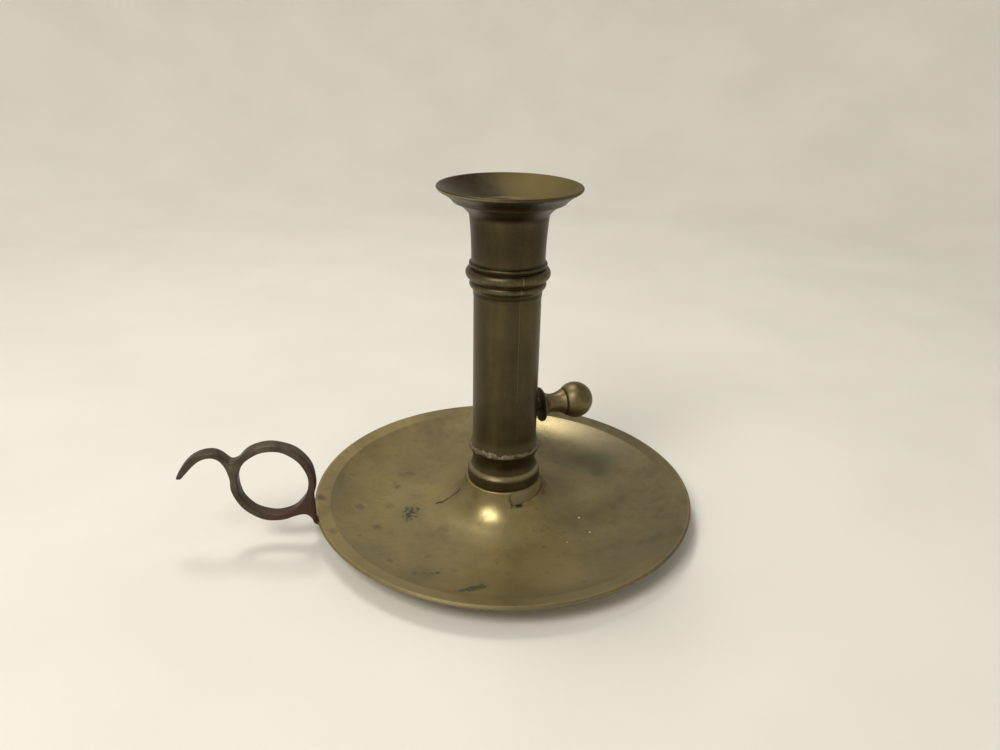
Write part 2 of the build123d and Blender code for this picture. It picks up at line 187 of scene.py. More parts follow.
def bell(value, middle, width):
    """Soft band: one at the middle, falling off over the width."""
    return np.exp(-(((value - middle) / width) ** 2))


def fade(value, start, span):
    """Straight ramp from none at the start to one after the span. A span below zero runs backwards."""
    return np.clip((value - start) / span, 0, 1)


def spotted(x, y, spots):
    """Sum of soft round marks, each with its centre, reach and depth."""
    return sum(depth * around(x, y, centre, reach) for centre, reach, depth in spots)


section = turned(pan_course, 0.35)
r, z = section[:, :1], section[:, 1:]
face = np.arange(len(section))[:, None] <= np.argmax(section[:, 0])

# The columns stand closer where the crack and the tear need them.
columns_round = 396
crack_bearing, crack_spread = math.radians(168), 0.16
tear_sector = math.radians(255), math.radians(340)
even = np.linspace(0, 2 * math.pi, 2000)
crowd = 1 + 1.6 * bell(even, crack_bearing, crack_spread)
crowd = crowd + 0.6 * ((even > tear_sector[0]) & (even < tear_sector[1]))
crowd = np.append(0, np.cumsum(crowd[1:]))
turns = np.interp(np.arange(columns_round) / columns_round * crowd[-1], crowd, even)
degrees = np.degrees(np.where(turns > math.pi, turns - 2 * math.pi, turns))

# The tear: between its two ends the flare drops to an upright wall, then a ragged lip and the ledge.
way = np.append(0, np.cumsum(np.hypot(*np.diff(section, axis=0).T)))[:, None]
torn_rows = face & (r >= boss_radius - 0.02) & (r <= ledge_radius) & (z < boss_height - 0.05)
down = np.clip((way - way[torn_rows].min()) / np.ptp(way[torn_rows]), 0, 1)
ragged = 1.4 * np.sin(9 * down + 1) + 0.8 * np.sin(23 * down)
inside = np.clip((degrees - tear_from - ragged) / 1.6, 0, 1)
inside = inside * np.clip((tear_to - degrees + ragged) / 5, 0, 1)
torn = torn_rows * inside * inside * (3 - 2 * inside)
on_wall = np.clip(down / 0.55, 0, 1)
on_ledge = fade(down, 0.55, 0.45)
past_lip = fade(on_ledge, 0.3, 0.7)
score = 0.05 * np.sin(1.9 * degrees) * np.sin(0.73 * degrees + 1)
gape = bell(degrees, -91, 9)
gap_width = 0.25 + 0.7 * gape
lip = np.clip(on_ledge / 0.3, 0, 1)
torn_r = boss_radius - 0.08 + score * (on_wall < 1) + gap_width * lip
torn_r = torn_r + past_lip * (ledge_radius - boss_radius + 0.08 - gap_width)
lip_height = 1.3 - 0.6 * gape + 0.12 * np.sin(0.31 * degrees)
torn_z = boss_height - 0.1 - on_wall * (boss_height + 0.9 - ledge_height)
torn_z = torn_z + lip_height * lip * lip * (1 - past_lip)
wall_r = r + torn * (torn_r - r)
wall_z = z + torn * (torn_z - z)
bare = torn * (on_wall < 1)

# The crack runs out from the boss with one lip lifted. The floor sways a little and the rim sags.
crack_start, crack_end = 17.2, 28.6
crack_middle = np.interp(r, [17.8, 19.1, 21.2, 24.9, 28.1], [169.8, 169.4, 167.4, 167.6, 165.5])
crack_middle = crack_middle + 0.5 * np.sin(2.1 * r)
across = np.radians(degrees - crack_middle) * r
crack_width = 0.5 + 0.35 * bell(r, 18.4, 0.7) + 0.25 * bell(r, 25.5, 1.5)
crack = face * bell(across, 0, crack_width) * fade(r, crack_start, 0.6) * fade(r, crack_end, -2)
lifted = face * bell(across, 1.0, 0.5) * fade(r, crack_start, 2) * fade(r, crack_end, -3)
sway = np.sin(2 * turns + 1) + 0.7 * np.sin(3 * turns + 2.2) + 0.5 * np.sin(7 * turns + 0.13 * r)
worked = face * fade(r, 20, 8) * fade(r, rim_radius, -4)
slack = 0.12 + 0.06 * np.sin(2 * turns + 0.4) + 0.05 * np.sin(5 * turns)
slack = fade(r, 62, 13) ** 2 * slack
wall_z = wall_z - 0.5 * crack + 0.06 * lifted + 0.045 * worked * sway - slack
pan_grid = np.stack([wall_r * np.cos(turns), wall_r * np.sin(turns), wall_z], -1)

# Marks on the face: verdigris, stains, smudges, dirt and painted shade, wear, and a painted highlight.
x, y = pan_grid[..., 0], pan_grid[..., 1]
trail = np.abs(y + 52.2 - 0.34 * (x + 31)) / 2.4
verdigris = 0.85 * np.exp(-(trail**2) - ((x + 30.2) / 7.2) ** 4)
verdigris = verdigris + spotted(
    x,
    y,
    [
        ((-38.2, 7.4), 2.2, 0.48),
        ((-38.6, 2.2), 2.6, 0.54),
        ((-35.0, 5.6), 2.4, 0.36),
        ((-40.0, -1.0), 2.0, 0.4),
        ((-38.0, 4.0), 5.5, 0.25),
        ((-47.0, -38.0), 2.2, 0.55),
        ((-42.5, -37.8), 2.0, 0.6),
        ((-38.7, -38.2), 1.8, 0.66),
        ((-48.0, -16.0), 9.0, 0.2),
    ],
)
stain = spotted(
    x,
    y,
    [
        ((-30.2, 33.2), 2.0, 0.6),
        ((-34.0, 34.0), 1.8, 0.45),
        ((-38.5, 24.6), 1.5, 0.7),
        ((-56.7, 11.1), 2.2, 0.6),
        ((-52.9, -2.9), 2.4, 0.6),
        ((-44.9, 11.4), 2.4, 0.5),
        ((-29.0, -11.0), 2.6, 0.5),
        ((-70.5, -9.6), 2.0, 0.6),
        ((-71.6, 14.4), 2.4, 0.8),
        ((-53.4, -27.7), 1.3, 1.0),
    ],
)
smudge = spotted(
    x,
    y,
    [
        ((46.5, 19.5), 6.0, 1.0),
        ((52.5, 15.5), 6.0, 1.0),
        ((48.0, 8.0), 4.0, 0.8),
        ((-56.0, -19.0), 7.0, 0.4),
        ((-44.0, -38.0), 6.0, 0.45),
        ((-37.5, 4.0), 5.0, 0.45),
    ],
)
smudge = np.clip(smudge, 0, 1)
# The crack is dark, partly dirt and partly painted shade. The rest is painted shade: along the inner edge
# of the rim band, in the tear's gap and at its foot, and where the boss meets the foot at the back.
grime = crack + 0.2 * bell(r, 68.3, 1.4) * np.clip(0.7 + y / 60, 0, 1)
grime = grime + torn * (on_wall >= 1) * (lip < 0.95) * (0.5 + gape)
grime = grime + 0.9 * torn * bell(degrees, -87, 6) * fade(on_wall, 0.8, 0.2)
grime = grime + 0.5 * bell(r, 15.2, 0.5) * (1 - inside) * (degrees > 100)
grime = np.clip(grime, 0, 1)
# A painted highlight along the boss lip, on the lamp's side only; the brighter rim edge is wear.
worn = 0.7 * bell(r, 14.85, 0.3) * (z > 14) * (1 - inside) * bell(degrees, -125, 50)
worn = worn + 0.3 * bell(r, 74.0, 0.35)
verdigris, stain, smudge, grime, worn = (face * mark for mark in (verdigris, stain, smudge, grime, worn))

# Sheen is where old lacquer holds; the mark after it is painted light and shade in the tone.
flare_sheen = 0.8 * bell(degrees, -128, 38) * bell(r, 19, 5.5)
sheen = 0.1 + around(x, y, (34, 52), 22) + flare_sheen - 1.2 * bell(r, 28.5, 4.5)
sheen = sheen - 1.5 * bell(r, 16.5, 2.5) * fade(degrees, -108, 10) * (degrees < 60)
# Painted shade to the right; painted light at the front and as a glow round the flare's highlight.
dusk = 0.55 + x / 62 - y / 400 - 1.7 * around(x, y, (0, -46), 24)
dusk = dusk - 1.2 * bell(r, 21, 5) * bell(degrees, -140, 50)
# Painted shade under the rim on the left, and on the rim's outer face.
under_rim = fade(r, 52, 16) * np.clip(-x / 60, 0, 1) * np.clip(1.2 + y / 40, 0, 1) * (r < rim_radius)
dusk = dusk + 0.8 * under_rim + 0.7 * (r > rim_edge)

# Tarnished brass: a soft, slightly cloudy sheen, olive where the tarnish is thick and gold where it is
# thin, with painted light and shade over the tone. The tarnish is a dull skin, so the metal under it
# only half mirrors what stands on it, and traces of old lacquer brighten the glints on the flare and by
# the far rim.
pan_brass, where = blank("tarnished_brass")
cloud = node(
    pan_brass,
    "ShaderNodeTexNoise",
    {"Scale": 1000 / 26, "Detail": 5, "Roughness": 0.6},
    {"Vector": where},
)
mottle = node(
    pan_brass,
    "ShaderNodeTexNoise",
    {"Scale": 1000 / 4.5, "Detail": 6, "Roughness": 0.65},
    {"Vector": where},
)
pits = node(pan_brass, "ShaderNodeTexNoise", {"Scale": 1000 / 1.6, "Detail": 3}, {"Vector": where})
blend = node(pan_brass, "ShaderNodeMix", {"data_type": "FLOAT", 0: 0.4}, {2: cloud, 3: mottle})
# The painted light and shade mark shifts the tone here.
shade = node(pan_brass, "ShaderNodeAttribute", {"attribute_name": "dusk"}, out="Fac")
shade = node(pan_brass, "ShaderNodeMath", {"operation": "MULTIPLY_ADD", 1: -0.16}, {0: shade, 2: blend})
tone = node(
    pan_brass,
    "ShaderNodeValToRGB",
    {"ramp": [(0.2, "#595034"), (0.38, "#716544"), (0.5, "#7f724b"), (0.62, "#8c7d51")]},
    {"Fac": shade},
)
spots = node(pan_brass, "ShaderNodeMapRange", {1: 0.62, 2: 0.7, 3: 0, 4: 0.5}, {0: mottle})
tone = node(
    pan_brass, "ShaderNodeMix", {"data_type": "RGBA", 7: linear("#5f5335")}, {0: spots, 6: tone}, out=2
)
over = {}
for mark, code, noise, share, low, high in (
    ("worn", "#b9a56b", mottle, 0.3, 0.3, 0.9),
    ("smudge", "#4d4a30", mottle, 1.6, 0.85, 1.75),
    ("stain", "#4d4329", pits, 0.8, 0.55, 1.3),
    ("bare", "#887a59", mottle, 0.3, 0.2, 1.1),
    ("grime", "#2a2216", pits, 0.4, 0.4, 0.9),
    ("verdigris", "#30361b", pits, 1.7, 1.25, 1.6),
):
    amount = node(pan_brass, "ShaderNodeAttribute", {"attribute_name": mark}, out="Fac")
    amount = node(
        pan_brass, "ShaderNodeMath", {"operation": "MULTIPLY_ADD", 1: share}, {0: noise, 2: amount}
    )
    over[mark] = node(pan_brass, "ShaderNodeMapRange", {1: low, 2: high}, {0: amount})
    tone = node(
        pan_brass,
        "ShaderNodeMix",
        {"data_type": "RGBA", 7: linear(code)},
        {0: over[mark], 6: tone},
        out=2,
    )
matt = node(
    pan_brass, "ShaderNodeMath", {"operation": "MAXIMUM"}, {0: over["bare"], 1: over["verdigris"]}
)
matt = node(pan_brass, "ShaderNodeMath", {"operation": "MAXIMUM"}, {0: matt, 1: over["grime"]})
dull = node(pan_brass, "ShaderNodeMapRange", {1: 0.3, 2: 0.7, 3: 0.4, 4: 0.5}, {0: blend})
dull = node(pan_brass, "ShaderNodeMath", {"operation": "MULTIPLY_ADD", 1: 0.3}, {0: matt, 2: dull})
glint = node(pan_brass, "ShaderNodeAttribute", {"attribute_name": "sheen"}, out="Fac")
dull = node(pan_brass, "ShaderNodeMath", {"operation": "MULTIPLY_ADD", 1: -0.18}, {0: glint, 2: dull})
glint = node(
    pan_brass, "ShaderNodeMath", {"operation": "SUBTRACT", "use_clamp": True}, {0: glint, 1: matt}
)
solid = node(pan_brass, "ShaderNodeMapRange", {3: 0.45, 4: 0.05}, {0: matt})
solid = node(pan_brass, "ShaderNodeMath", {"operation": "MULTIPLY_ADD", 1: 0.55}, {0: glint, 2: solid})
glint = node(pan_brass, "ShaderNodeMath", {"operation": "MULTIPLY", 1: 0.55}, {0: glint})
grain = node(pan_brass, "ShaderNodeBump", {"Strength": 0.12, "Distance": 0.0001}, {"Height": pits})
grain = node(
    pan_brass,
    "ShaderNodeBump",
    {"Strength": 0.25, "Distance": 0.0002},
    {"Height": mottle, "Normal": grain},
)
skin = node(
    pan_brass,
    "ShaderNodeBsdfPrincipled",
    {"Coat Roughness": 0.33},
    {"Base Color": tone, "Roughness": dull, "Metallic": solid, "Normal": grain, "Coat Weight": glint},
)
node(pan_brass, "ShaderNodeOutputMaterial", {}, {"Surface": skin})

pan = shaped(
    "pan",
    pan_grid,
    quads(pan_grid.shape, (True, True)),
    pan_brass,
    verdigris=verdigris,
    grime=grime,
    worn=worn,
    bare=bare,
    smudge=smudge,
    stain=stain,
    sheen=sheen,
    dusk=dusk,
)
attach(pan, "candlestick")
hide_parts("drip_pan")
for name in ("spigot_ring", "loop_rivets"):
    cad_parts[name].data.materials.clear()
    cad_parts[name].data.materials.append(pan_brass)


# Stem foot: a spool turned in brass, with a spigot down through the boss and a plug up into the stem.
# Its waist is darker, it is painted darker below the boss lip as shade, and a painted highlight lies
# on the flare just above the arris of the plain band.

foot_course = [
    (9.0, 3.5, 0, 1.0),
    (14.3, 3.5, 0, 0.5),
    (14.3, 4.5, 0, 0.5),
    (13.4, 4.5, 0, 2.0),
    (13.4, 15.0, 0, 0.5),
    (14.1, 15.0, 0, 0.3),
    (14.28, 15.3, 0, 0.5),
    (14.28, 18.8, -0.1, 0.3),
    (13.9, 19.5, 1.25, 0.4),
    (13.2, 28.2, 0, 0.5),
    (10.85, 28.2, 0, 1.0),
    (10.85, 32.2, 0, 0.5),
    (9.0, 32.2, 0, 3.0),
    (9.0, 3.5, 0, 1.0),
]


def full_turn(count):
    """Even steps once round, in radians."""
    return np.linspace(0, 2 * math.pi, count, endpoint=False)


foot_section = turned(foot_course, 0.8)
foot_grid = spun(foot_section, full_turn(128))
foot_r, foot_z = foot_section[:, :1], foot_section[:, 1:]
# A painted highlight on the flare just above the arris.
foot_rubbed = 0.95 * bell(foot_z, 20.3, 1.2) * (foot_r > 13)
# Darker in the waist, and painted shade below the boss lip.
foot_grime = 0.5 * bell(foot_z, 25, 2.6) + 0.7 * (foot_z < 15.6)

# Browned brass: brass under a dark brown skin of old lacquer and handling, with a low sheen. It is
# lighter on the arrises, from wear and as painted highlights, nearly black in the hollows, from old
# polish and as painted shade, golden in places, partly as painted light, and faintly streaked up and
# down.
stem_brass, where = blank("browned_brass")
streaks = node(stem_brass, "ShaderNodeMapping", {"Scale": (1, 1, 0.12)}, {"Vector": where})
streaks = node(stem_brass, "ShaderNodeTexNoise", {"Scale": 1000 / 5, "Detail": 5}, {"Vector": streaks})
cloud = node(
    stem_brass,
    "ShaderNodeTexNoise",
    {"Scale": 1000 / 17, "Detail": 4, "Roughness": 0.6},
    {"Vector": where},
)
fine = node(stem_brass, "ShaderNodeTexNoise", {"Scale": 1000 / 1.1, "Detail": 4}, {"Vector": where})
blend = node(stem_brass, "ShaderNodeMix", {"data_type": "FLOAT", 0: 0.45}, {2: cloud, 3: streaks})
tone = node(
    stem_brass,
    "ShaderNodeValToRGB",
    {"ramp": [(0.36, "#3f3524"), (0.46, "#483f2c"), (0.55, "#4e4630"), (0.66, "#5a4f34")]},
    {"Fac": blend},
)
for mark, code, noise, least, most in (
    ("rubbed", "#857a5c", fine, 0.25, 1.0),
    ("gilt", "#675a37", cloud, 0.3, 1.1),
    ("grime", "#2c2314", fine, 0.2, 1.1),
):
    amount = node(stem_brass, "ShaderNodeAttribute", {"attribute_name": mark}, out="Fac")
    amount = node(
        stem_brass, "ShaderNodeMath", {"operation": "MULTIPLY_ADD", 1: 0.5}, {0: noise, 2: amount}
    )
    amount = node(stem_brass, "ShaderNodeMapRange", {1: least + 0.25, 2: most + 0.25}, {0: amount})
    tone = node(
        stem_brass, "ShaderNodeMix", {"data_type": "RGBA", 7: linear(code)}, {0: amount, 6: tone}, out=2
    )
dull = node(stem_brass, "ShaderNodeMapRange", {1: 0.3, 2: 0.7, 3: 0.34, 4: 0.46}, {0: blend})
gold = node(stem_brass, "ShaderNodeAttribute", {"attribute_name": "gilt"}, out="Fac")
dull = node(stem_brass, "ShaderNodeMath", {"operation": "MULTIPLY_ADD", 1: 0.25}, {0: gold, 2: dull})
grain = node(stem_brass, "ShaderNodeBump", {"Strength": 0.18, "Distance": 0.0001}, {"Height": fine})
grain = node(
    stem_brass,
    "ShaderNodeBump",
    {"Strength": 0.15, "Distance": 0.0002},
    {"Height": streaks, "Normal": grain},
)
skin = node(
    stem_brass,
    "ShaderNodeBsdfPrincipled",
    {"Metallic": 0.9},
    {"Base Color": tone, "Roughness": dull, "Normal": grain},
)
node(stem_brass, "ShaderNodeOutputMaterial", {}, {"Surface": skin})

foot = shaped(
    "foot",
    foot_grid,
    quads(foot_grid.shape, (True, True)),
    stem_brass,
    rubbed=foot_rubbed,
    grime=foot_grime,
    gilt=0.5 * (foot_z < 18.6),
)
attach(foot, "candlestick")
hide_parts("stem_foot")


# Stem: two half castings brazed edge to edge, each with its half of the collar, tube, ring moulding,
# neck, nozzle and trumpet lip. The seam is scraped and shows as a fine pale line. One half has the
# upright slot for the knob.

tube_radius, tube_bore = 12.5, 10.9
slot_base, slot_top, slot_half = 41.5, 74.3, 2.4
collar_course = [
    (tube_bore, 28.2, 0, 1.0),
    (13.6, 28.2, -0.1, 0.3),
    (14.08, 29.3, 0.43, 0.3),
    (tube_radius, 35.0, 0, 1.0),
]
head_course = [
    (tube_radius, 91.0, 0, 0.4),
    (12.7, 91.1, 0, 0.4),
    (12.7, 92.2, 0.1, 0.4),
    (13.2, 94.0, -0.79, 0.4),
    (13.42, 96.8, 0, 0.3),
    (13.42, 97.3, -2.08, 0.4),
    (13.42, 101.7, 0, 0.3),
    (13.42, 102.2, -0.83, 0.4),
    (13.42, 103.7, 0.25, 1.2),
    (14.3, 120.6, 0, 0.4),
    (14.7, 121.4, 0.3, 0.4),
    (19.4, 125.2, 0, 0.3),
    (20.2, 125.3, 0, 0.3),
    (20.7, 126.0, 0.2, 0.5),
    (24.9, 129.0, -0.1, 0.3),
    (25.8, 129.9, 0, 0.3),
    (25.8, 130.4, -0.1, 0.3),
    (25.3, 130.7, 0, 0.3),
    (24.9, 130.6, 0.75, 0.6),
    (12.0, 124.0, 0, 0.3),
    (11.3, 123.0, 0, 2.0),
    (11.3, 95.0, 0, 0.3),
    (tube_bore, 95.0, 0, 0.5),
    (tube_bore, 91.0, 0, 0.5),
]
# The levels of the tube crowd at the round ends of the slot.
bulge = slot_half * (1 - np.cos(np.linspace(0, math.pi / 2, 9)))
levels = np.concatenate(
    [
        np.arange(35.8, slot_base - 0.5, 1.2),
        slot_base + bulge,
        np.arange(slot_base + slot_half + 1.6, slot_top - slot_half - 0.8, 1.6),
        (slot_top - bulge)[::-1],
        np.arange(slot_top + 1, 90.6, 1.6),
    ]
)
collar = turned(collar_course, 0.3, closed=False)
head = turned(head_course, 0.25, closed=False)
tube_rows = np.stack([np.full_like(levels, tube_radius), levels], 1)
bore_rows = np.stack([np.full_like(levels, tube_bore), levels], 1)[::-1]
stem_section = np.vstack([collar, tube_rows, head, bore_rows])
outer_rows = len(collar) + np.arange(len(levels))
inner_rows = len(stem_section) - 1 - np.arange(len(levels))

stem_r, stem_z = stem_section[:, :1], stem_section[:, 1:]
outside = np.arange(len(stem_section))[:, None] <= np.argmax(stem_section[:, 0])
spread = np.linspace(0, 1, 44)
spread = spread * (1.5 - 0.5 * spread**2)
end_reach = np.minimum(np.minimum(stem_z - slot_base, slot_top - stem_z), slot_half)
slot_open = np.sqrt(np.clip(slot_half**2 - (slot_half - end_reach) ** 2, 0, None)) * (end_reach > 0)
tube_numbers = np.concatenate([outer_rows, inner_rows])
slot_open = slot_open * np.isin(np.arange(len(stem_section)), tube_numbers)[:, None]


def half_stem(name, opening, side, material, nodes):
    """Half of the stem, to one side of the seam plane. Each row of the section runs from the edge of the
    slot, or from the middle where there is none, round to the seam both ways. The slot's walls join its
    edges outside and inside, and the section itself closes the half at the seam."""
    start = np.arcsin(opening / stem_r)
    turn = start + (math.pi / 2 - start) * spread
    from_seam = (math.pi / 2 - turn) * stem_r
    eased = stem_r - 0.09 * bell(from_seam, 0, 0.16) * outside
    rows, columns = turn.shape
    points, faces = [], []
    for hand in (1, -1):
        first = len(points) * rows * columns
        way_round = hand * turn
        points.append(
            np.stack([side * eased * np.cos(way_round), eased * np.sin(way_round), stem_z + 0 * turn], -1)
        )
        faces += quads((rows, columns), (True, False), first)
        faces.append((first + np.arange(rows) * columns + columns - 1).tolist())
        if opening.any():
            cut = slice(np.argmax(levels >= slot_base), np.argmax(levels >= slot_top) + 1)
            rim, hollow = first + outer_rows[cut] * columns, first + inner_rows[cut] * columns
            faces += np.stack([rim[:-1], rim[1:], hollow[1:], hollow[:-1]], 1).tolist()
    points = np.stack(points)
    x, y, z = points[..., 0], points[..., 1], points[..., 2]
    seam = bell(np.minimum(from_seam, 9), 0, 0.2) * (y < 0) * outside * (z < 103.5) * (z > 52)
    # Painted highlights on the lip's step edge, the lip's outer edge to the left and the bore's edge in
    # the funnel; the seam and the bead edges are rubbed bright.
    arris = 0.4 * bell(z, 99.5, 1.8) + 0.4 * bell(z, 95.5, 1.0)
    arris = arris + 0.5 * bell(z, 125.5, 0.3) + 0.9 * (z > 129.6) * np.clip(-x / 20, 0, 1)
    funnel = ~outside & (z > 123.4)
    rubbed = np.clip(0.5 * seam + arris * outside + 0.8 * funnel * bell(z, 123.9, 0.4), 0, 1)
    # Golden tone: lighter brass in the funnel, painted lighter towards the right as painted light, and a
    # painted highlight streak down the front of the tube.
    gilt = funnel * np.clip(0.35 + x / 14, 0, 1)
    gilt = gilt + 0.35 * bell(z, 62, 7) * bell(x, -1, 5) * outside * (y < 0)
    # Darker in the grooves, from old polish and, under the collar and the lip, as painted shade; darker
    # on the neck; painted shade inside the bore, on the funnel's left side and along the slot's edges.
    hollows = np.zeros_like(z)
    for height, width in (
        (28.4, 0.5),
        (92.6, 0.8),
        (97.0, 0.4),
        (102.0, 0.4),
        (103.9, 0.5),
        (121.4, 1.6),
        (127.3, 1.5),
    ):
        hollows = np.maximum(hollows, bell(z, height, width))
    hollows = np.maximum(hollows, 0.65 * np.exp(-(((z - 112) / 7.5) ** 4))) * outside
    hollows = hollows + 0.9 * ~outside * (z < 123.2) + funnel * np.clip(0.15 - x / 40, 0, 0.35)
    hollows = hollows + 0.6 * bell(np.abs(y), slot_half, 0.5) * (opening > 0)
    half = shaped(name, points, faces, material, rubbed=rubbed, gilt=gilt, grime=np.clip(hollows, 0, 1))
    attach(half, "candlestick")
    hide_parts(*nodes)


half_stem("stem_slotted", slot_open, 1, stem_brass, ["stem_half_slotted"])
half_stem("stem_plain", 0 * slot_open, -1, stem_brass, ["stem_half_plain"])


# Solder: an old repair, smeared unevenly round the edge of the collar and left as a lumpy grey crust,
# thickest on the loop's side.

smear = full_turn(420)
lumps = 0.5 + 0.24 * np.sin(13 * smear) + 0.2 * np.sin(29 * smear + 1) + 0.16 * np.sin(61 * smear + 2)
thick = 0.24 + 0.55 * np.clip(lumps, 0, 1) * (0.3 + 0.7 * bell(smear, math.radians(205), 1.0))
bead = full_turn(12)[:, None]
solder_z = 30.1 + 0.25 * np.sin(7 * smear) + 0.2 * np.sin(19 * smear) + 1.7 * thick * np.sin(bead)
solder_r = np.interp(solder_z, collar[:, 1], collar[:, 0]) - 0.12 + 0.55 * thick * np.cos(bead)
solder_grid = np.stack([solder_r * np.cos(smear), solder_r * np.sin(smear), solder_z], -1)

# Soft solder: dull grey-white metal gone brown in its hollows, so it shows as a pale crust.
soft_solder, where = blank("soft_solder")
cloud = node(
    soft_solder,
    "ShaderNodeTexNoise",
    {"Scale": 1000 / 1.5, "Detail": 5, "Roughness": 0.65},
    {"Vector": where},
)
tone = node(
    soft_solder,
    "ShaderNodeValToRGB",
    {"ramp": [(0.38, "#4f4632"), (0.5, "#655b44"), (0.64, "#7d745c")]},
    {"Fac": cloud},
)
grain = node(soft_solder, "ShaderNodeBump", {"Strength": 0.5, "Distance": 0.0003}, {"Height": cloud})
skin = node(
    soft_solder,
    "ShaderNodeBsdfPrincipled",
    {"Metallic": 0.5, "Roughness": 0.5},
    {"Base Color": tone, "Normal": grain},
)
node(soft_solder, "ShaderNodeOutputMaterial", {}, {"Surface": skin})
solder = shaped("collar_solder", solder_grid, quads(solder_grid.shape, (True, True)), soft_solder)
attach(solder, "candlestick")


# Ejector: a turned brass knob with a ball end on a shank through the slot. Inside, the shank carries a
# curved leaf, a washer, a plate for the candle to stand on and a bowed spring. Fingers have kept the knob
# brighter than the stem.

knob_height = 43.9
knob_course = [
    (0.0, 7.5, -0.256, 0.4),
    (3.0, 8.5, 0, 0.4),
    (2.2, 8.5, 0, 1.0),
    (2.2, 14.6, 0, 0.5),
    (6.8, 14.6, 0, 0.4),
    (6.8, 15.3, 0.856, 0.4),
    (3.7, 19.6, 0.357, 0.4),
    (5.1, 24.6, 0, 0.2),
    (4.75, 24.95, 0, 0.2),
    (5.2, 25.0, -0.519, 0.3),
    (7.2, 29.93, -2.109, 0.4),
    (0.0, 37.13, 0, 0.4),
]
knob_section = turned(knob_course, 0.2, closed=False)
knob_section[[0, -1], 0] = 0
knob_grid = spun(knob_section, full_turn(112))
knob_grid = np.stack([knob_grid[..., 2], knob_grid[..., 0], knob_grid[..., 1] + knob_height], -1)
knob_along = knob_section[:, 1:]
# Darker in the groove and on the neck, and painted shade on the base disc's back face and the shank.
knob_grime = 0.7 * bell(knob_along, 24.9, 0.5) + 0.65 * (knob_along < 15.2)
knob_grime = knob_grime + 0.25 * bell(knob_along, 17.5, 1.6)

# Handled brass: brown brass worn to a warm low polish, so its highlights are soft but clear. It is
# darker in its groove and painted with shade behind the base disc.
knob_brass, where = blank("handled_brass")
cloud = node(
    knob_brass,
    "ShaderNodeTexNoise",
    {"Scale": 1000 / 7, "Detail": 5, "Roughness": 0.6},
    {"Vector": where},
)
fine = node(knob_brass, "ShaderNodeTexNoise", {"Scale": 1000 / 0.8, "Detail": 3}, {"Vector": where})
tone = node(
    knob_brass,
    "ShaderNodeValToRGB",
    {"ramp": [(0.35, "#5e533a"), (0.5, "#6e6347"), (0.65, "#807455")]},
    {"Fac": cloud},
)
amount = node(knob_brass, "ShaderNodeAttribute", {"attribute_name": "grime"}, out="Fac")
amount = node(knob_brass, "ShaderNodeMath", {"operation": "MULTIPLY_ADD", 1: 0.4}, {0: fine, 2: amount})
amount = node(knob_brass, "ShaderNodeMapRange", {1: 0.4, 2: 1.2}, {0: amount})
tone = node(
    knob_brass, "ShaderNodeMix", {"data_type": "RGBA", 7: linear("#2b2213")}, {0: amount, 6: tone}, out=2
)
dull = node(knob_brass, "ShaderNodeMapRange", {1: 0.3, 2: 0.7, 3: 0.38, 4: 0.5}, {0: cloud})
dull = node(knob_brass, "ShaderNodeMath", {"operation": "MULTIPLY_ADD", 1: 0.3}, {0: amount, 2: dull})
grain = node(knob_brass, "ShaderNodeBump", {"Strength": 0.15, "Distance": 0.0001}, {"Height": fine})
skin = node(
    knob_brass,
    "ShaderNodeBsdfPrincipled",
    {"Metallic": 1.0},
    {"Base Color": tone, "Roughness": dull, "Normal": grain},
)
node(knob_brass, "ShaderNodeOutputMaterial", {}, {"Surface": skin})

knob = shaped(
    "ejector_knob", knob_grid, quads(knob_grid.shape, (False, True)), knob_brass, grime=knob_grime
)
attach(knob, "ejector")
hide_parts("knob")

# Dull brass: sheet brass that has never been polished, brown-gold and slightly rough.
sheet_brass, where = blank("dull_sheet_brass")
cloud = node(
    sheet_brass,
    "ShaderNodeTexNoise",
    {"Scale": 1000 / 5, "Detail": 6, "Roughness": 0.6},
    {"Vector": where},
)
tone = node(
    sheet_brass,
    "ShaderNodeValToRGB",
    {"ramp": [(0.35, "#4d4127"), (0.5, "#6a5a35"), (0.65, "#7d6c42")]},
    {"Fac": cloud},
)
grain = node(sheet_brass, "ShaderNodeBump", {"Strength": 0.2, "Distance": 0.0001}, {"Height": cloud})
skin = node(
    sheet_brass,
    "ShaderNodeBsdfPrincipled",
    {"Metallic": 1.0, "Roughness": 0.48},
    {"Base Color": tone, "Normal": grain},
)
node(sheet_brass, "ShaderNodeOutputMaterial", {}, {"Surface": skin})
for name in ("shank_washer", "slide_leaf", "pusher_disc", "bow_spring"):
    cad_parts[name].data.materials.clear()
    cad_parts[name].data.materials.append(sheet_brass)


# Finger loop: an iron bar forged to a ring, with a thumb scroll drawn out to a point and a flat tongue
# that turns under the rim, where two rivets hold it. It is browned all over, and rustier near the strap.

loop_turn = math.radians(16)
loop_origin = np.array([-88.85, 3.94, 26.2])
loop_out = np.array([math.cos(loop_turn), -math.sin(loop_turn), 0])
loop_side = np.array([-math.sin(loop_turn), -math.cos(loop_turn), 0])
loop_up = np.array([0, 0, 1])
ring_inner, ring_outer, loop_width = 12.95, 15.65, 5.0


def bezier(p0, p1, p2, p3, count):
    """Cubic curve from p0 to p3 that leaves towards p1 and arrives from p2."""
    t = np.linspace(0, 1, count)[:, None]
    ends = (1 - t) ** 3 * np.array(p0) + t**3 * np.array(p3)
    return ends + 3 * (1 - t) ** 2 * t * np.array(p1) + 3 * (1 - t) * t**2 * np.array(p2)


